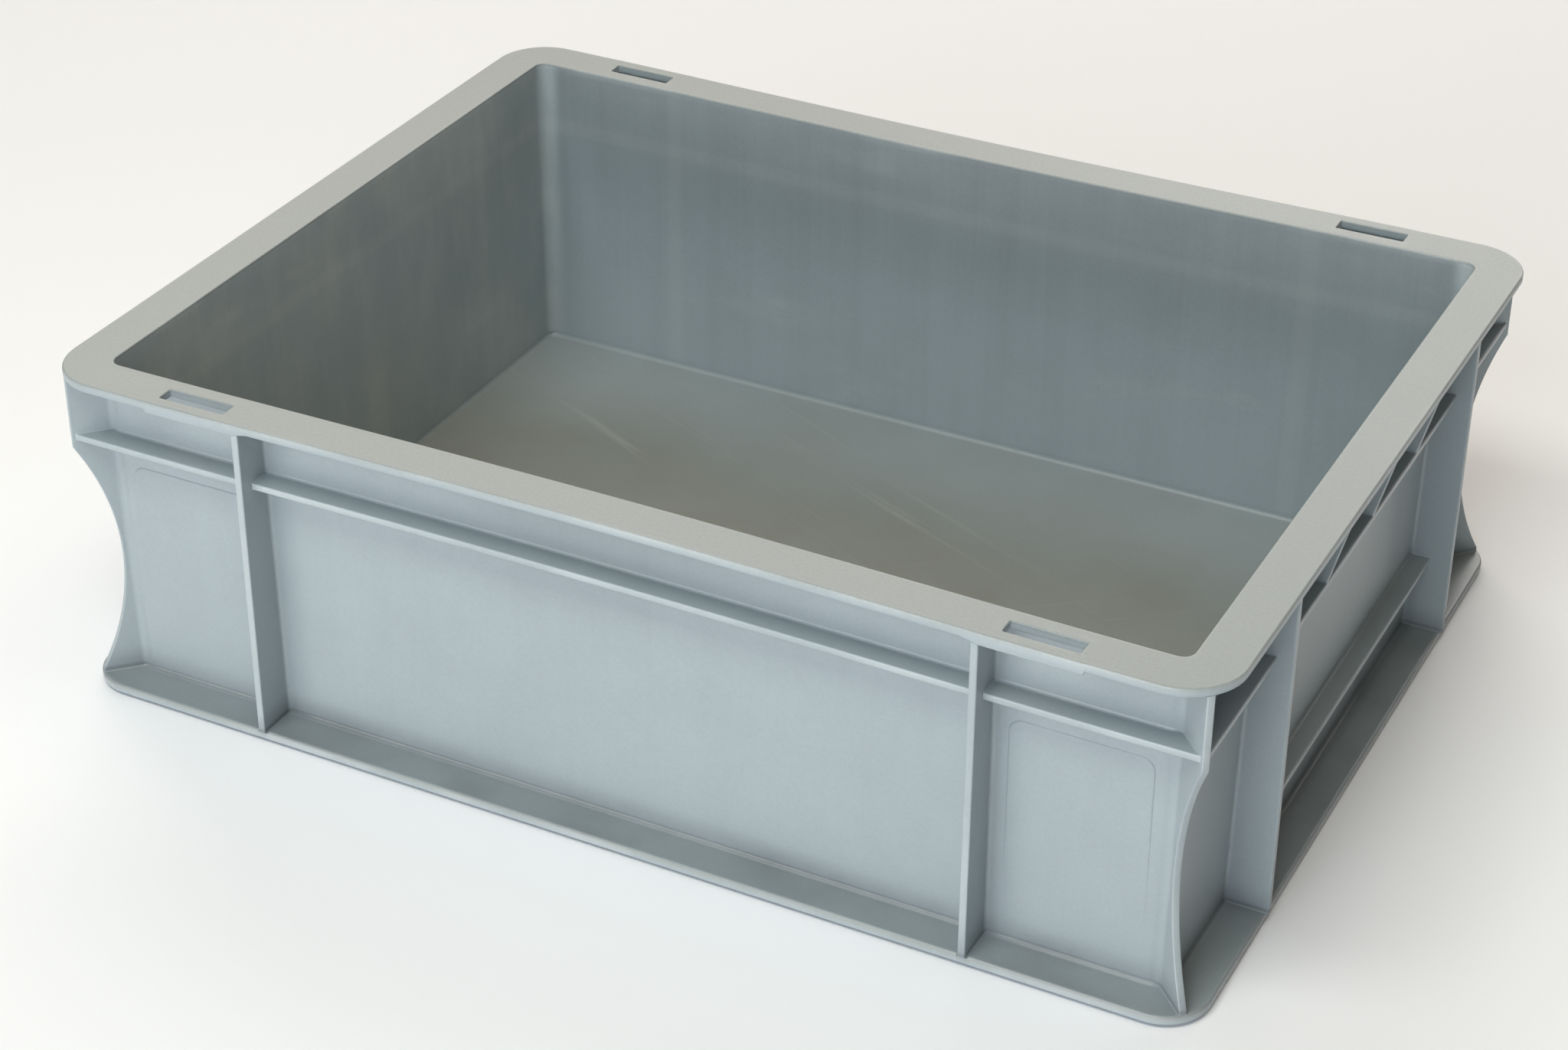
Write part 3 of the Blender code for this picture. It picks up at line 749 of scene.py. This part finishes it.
for side, rib_at in rib_places.items():
    length, size = half_sizes(side)
    wall_v = size - outer_inset(belt_level)
    edge_v = size - belt_inset
    u, ends = between_ribs(rib_at)
    node = "belt_{}_middle".format(side)
    name = node.replace("belt", "belt_rib")
    add_level_plate(name, node, side, (u, wall_v), (u, edge_v), belt_level, belt_thickness, ends)
    # In an end length both lines run straight to the corner's centre. From there the root line follows the
    # corner's arc and the edge line goes on, both by even shares, to the face of the fin.
    centre_u = length - inner_inset(belt_level) - tub_corner_radius
    centre_v = wall_v - outer_corner_radius
    rib_face = rib_at + rib_thickness / 2
    fin_u = centre_u + (edge_v - centre_v) - fin_thickness / np.sqrt(2)
    fin_angle = np.pi / 4 - np.arcsin(fin_thickness / 2 / outer_corner_radius)
    near_end = fillet_spread(end_fillet)
    straight = rib_face + along_plate(centre_u - rib_face, column_spacing)[: -near_end.size]
    near_fin = [1 - near_end / reach for reach in (outer_corner_radius * fin_angle, fin_u - centre_u)]
    turn = np.unique(np.concatenate((np.linspace(0, straight_turn, 12), *near_fin)))
    root_u = np.concatenate((straight, centre_u + outer_corner_radius * np.sin(fin_angle * turn)))
    root_v = centre_v + outer_corner_radius * np.cos(fin_angle * turn)
    root_v = np.concatenate((np.full(straight.size, wall_v), root_v))
    edge_u = np.concatenate((straight, centre_u + (fin_u - centre_u) * turn))
    for sign, end in zip((-1, 1), side_ends[side]):
        root, edge = (sign * root_u, root_v), (sign * edge_u, edge_v)
        rib_end = ((sign * rib_face, 0), (sign, 0))
        fin_end = ((sign * fin_u, edge_v), (-sign / np.sqrt(2), 1 / np.sqrt(2)))
        node = "belt_{}_{}".format(side, end)
        name = node.replace("belt", "belt_rib")
        add_level_plate(name, node, side, root, edge, belt_level, belt_thickness, (rib_end, fin_end))


# The short sides' low rib and three gussets: a second level rib moulded between the upright ribs, and small
# upright plates that stiffen the hand hold between the belt rib and the rim.
gusset_fillet = 0.0008
gusset_spacing = 0.003
belt_to_rim = ((belt_top * up, up), (rim_underside * up, -up))
z_along_gusset = belt_top + along_plate(rim_underside - belt_top, gusset_spacing)
gusset_share = (z_along_gusset - belt_top) / (rim_underside - belt_top)
gusset_inset = belt_inset - (belt_inset - rib_inset) * gusset_share
size = half_sizes("right")[1]
for side in ("right", "left"):
    node = "mid_rib_" + side
    level, thickness = box_middle(node, 2), box_thickness(node, 2)
    low_rib_v = max(abs(float(corner[0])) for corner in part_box(node))
    u, ends = between_ribs(short_rib_at)
    root, edge = (u, size - outer_inset(level)), (u, low_rib_v)
    add_level_plate("low_rib_" + side, node, side, root, edge, level, thickness, ends)
    across = on_side(side, 1, 0, 0)
    for number in (1, 2, 3):
        node = "gusset_{}_{}".format(side, number)
        at = box_middle(node, 1) * (1 if side == "right" else -1)
        root = on_side(side, at, size - outer_inset(z_along_gusset), z_along_gusset)
        edge = on_side(side, at, size - gusset_inset, z_along_gusset)
        thickness = box_thickness(node, 1)
        add_plate("handle_" + node, node, root, edge, across, thickness, gusset_fillet, belt_to_rim)


# The label panels: on each end bay of the long sides a slightly proud field for a label, moulded with a
# sloped edge and rounded upper corners, which fades into the wall towards the base.
panel_from, panel_to = 0.1318, 0.1772
panel_low, panel_top = 0.0120, 0.0850
panel_half = (panel_to - panel_from) / 2
panel_corner_radius = 0.0045
panel_proud = 0.00030
panel_slope = 0.0004
panel_fade_from, panel_fade_to = 0.062, 0.020
panel_back = sink * 5  # how far the panel's flat back lies inside the wall
slope_steps = (0, 0.25, 0.5, 0.75, 1, 2.5, 10, 20, 30, 40, 50)  # the outline's loops, in slopes inwards
panel_insets = panel_slope * np.append(slope_steps, panel_half / panel_slope - 0.5)


def panel_loop(inset):
    """One loop of a panel's outline moved in by the inset, as u from its middle and z (n, 2): up the right
    side, round the corners over the top, down the left side and back along the bottom."""
    half, top, low = panel_half - inset, panel_top - inset, panel_low + inset
    radius = max(panel_corner_radius - inset, 1e-5)
    turn = np.radians(np.linspace(0, 90, 9))
    corner_u = half - radius + radius * np.cos(turn)
    corner_z = top - radius + radius * np.sin(turn)
    side_z = np.linspace(low, top - radius, 16)[:-1]
    side_u = np.full(side_z.size, half)
    top_u = np.linspace(half - radius, radius - half, 9)[1:-1]
    bottom_u = np.linspace(-half, half, 9)[1:-1]
    u = np.concatenate((side_u, corner_u, top_u, -corner_u[::-1], -side_u, bottom_u))
    top_z, bottom_z = np.full(top_u.size, top), np.full(bottom_u.size, low)
    z = np.concatenate((side_z, corner_z, top_z, corner_z[::-1], side_z[::-1], bottom_z))
    return np.stack((u, z), axis=-1)


loops = np.stack([panel_loop(inset) for inset in panel_insets])
panel_u, panel_z = loops[..., 0], loops[..., 1]
fade = np.clip((panel_z - panel_fade_to) / (panel_fade_from - panel_fade_to), 0, 1)
rise = np.minimum(1, panel_insets / panel_slope)[:, None]
proud = panel_proud * fade * rise * rise * (3 - 2 * rise) - sink * (1 - fade)
panel_v = half_width - outer_inset(panel_z)
for side in ("front", "back"):
    for sign, end in zip((-1, 1), side_ends[side]):
        u = sign * (panel_from + panel_to) / 2 + panel_u
        outside = np.stack((u, panel_v + proud, panel_z), axis=-1)
        behind = np.stack((u, panel_v - panel_back, panel_z), axis=-1)
        points = turned(np.concatenate((outside[::-1], behind)), sides[side])
        add_tube("label_panel_{}_{}".format(side, end), points)


# The studio: a plain pale floor and soft lights. A warm one hangs overhead, a window and a wide light stand
# behind, a cool one in front, and three fill the front's foot and the floor in front and on the right.
floor_reach = 4.0
ground_corners = [(x * floor_reach, y * floor_reach, 0) for x, y in ((-1, -1), (1, -1), (1, 1), (-1, 1))]
ground_mesh = bpy.data.meshes.new("studio_floor")
ground_mesh.from_pydata(ground_corners, [], [(0, 1, 2, 3)])
ground = bpy.data.objects.new("studio_floor", ground_mesh)
bpy.context.scene.collection.objects.link(ground)
paper = bpy.data.materials.new("studio_floor")
paper.use_nodes = True
paper_inputs = paper.node_tree.nodes["Principled BSDF"].inputs
paper_inputs["Base Color"].default_value = (0.85, 0.87, 0.91, 1)
paper_inputs["Roughness"].default_value = 0.7
ground_mesh.materials.append(paper)
ground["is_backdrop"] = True


def aimed(place, target):
    """The matrix that puts a light or camera at the place, facing the target."""
    turn = (Vector(target) - Vector(place)).to_track_quat("-Z", "Y")
    return Matrix.Translation(place) @ turn.to_matrix().to_4x4()


def add_light(name, place, target, size, colour, power, spread=np.pi):
    """A soft rectangular light at the place, facing the target and unseen by the camera."""
    light = bpy.data.lights.new(name, "AREA")
    light.shape = "RECTANGLE"
    light.size, light.size_y = size
    light.color = colour
    light.energy = power
    light.spread = spread
    lamp = bpy.data.objects.new(name, light)
    lamp.matrix_world = aimed(place, target)
    lamp.visible_camera = False
    bpy.context.scene.collection.objects.link(lamp)


add_light("overhead", (0.7, 0.0, 2.4), (0, 0, 0), (1.6, 2.2), (1.0, 0.76, 0.46), 9.5)
add_light("window", (-1.3, 1.5, 1.5), (0, 0, 0), (1.6, 1.4), (1.0, 0.93, 0.84), 22.5)
add_light("behind", (0.0, 2.4, 1.2), (0, 0, 0), (1.8, 1.2), (1.0, 0.96, 0.91), 25.5)
add_light("front", (0.2, -2.2, 1.2), (0, 0, 0), (1.6, 1.2), (0.81, 0.91, 1.0), 25.5)
add_light("front_low", (-0.2, -1.5, 0.16), (0, 0, 0.06), (1.8, 0.3), (1.0, 0.95, 0.93), 12.6)
add_light("front_floor", (-0.1, -0.9, 1.6), (-0.1, -0.9, 0), (1.2, 0.6), (1.0, 1.0, 0.91), 19.5)
add_light("right_floor", (0.95, -0.05, 1.4), (0.95, -0.05, 0), (0.4, 0.9), (1.0, 0.97, 0.92), 2.0, 0.8)

# The room's air: nearly dark overhead, with a pale glow along the horizon.
world = bpy.data.worlds.new("studio")
world.use_nodes = True
sky = Shade(world.node_tree)
sky_direction = sky.node("ShaderNodeTexCoord", {}, {}, "Generated")
above_horizon = sky.node("ShaderNodeSeparateXYZ", {}, {"Vector": sky_direction}, "Z")
glow = 0.01 + 0.30 * above_horizon.between(0.26, 0.06)
background = world.node_tree.nodes["Background"]
world.node_tree.links.new(glow.socket, background.inputs["Strength"])
background.inputs["Color"].default_value = (1.0, 0.99, 0.97, 1)
bpy.context.scene.world = world
bpy.context.scene.view_settings.view_transform = "Standard"

# The camera: a long lens above the front right corner, held very slightly off level.
camera_data = bpy.data.cameras.new("camera")
camera_data.sensor_width = 36
camera_data.lens = 74.44
camera_data.clip_start = 0.05
camera_place = (0.42116, -0.84440, 0.61861)
camera_aim = (0.00816, -0.03623, 0.06000)
camera_roll = np.radians(0.184)
camera = bpy.data.objects.new("camera", camera_data)
camera.matrix_world = aimed(camera_place, camera_aim) @ Matrix.Rotation(camera_roll, 4, "Z")
bpy.context.scene.collection.objects.link(camera)
bpy.context.scene.camera = camera

sizes = {"cad": cad_bounds, "visual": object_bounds()}
sizes = {key: [[float(value) for value in corner] for corner in box] for key, box in sizes.items()}
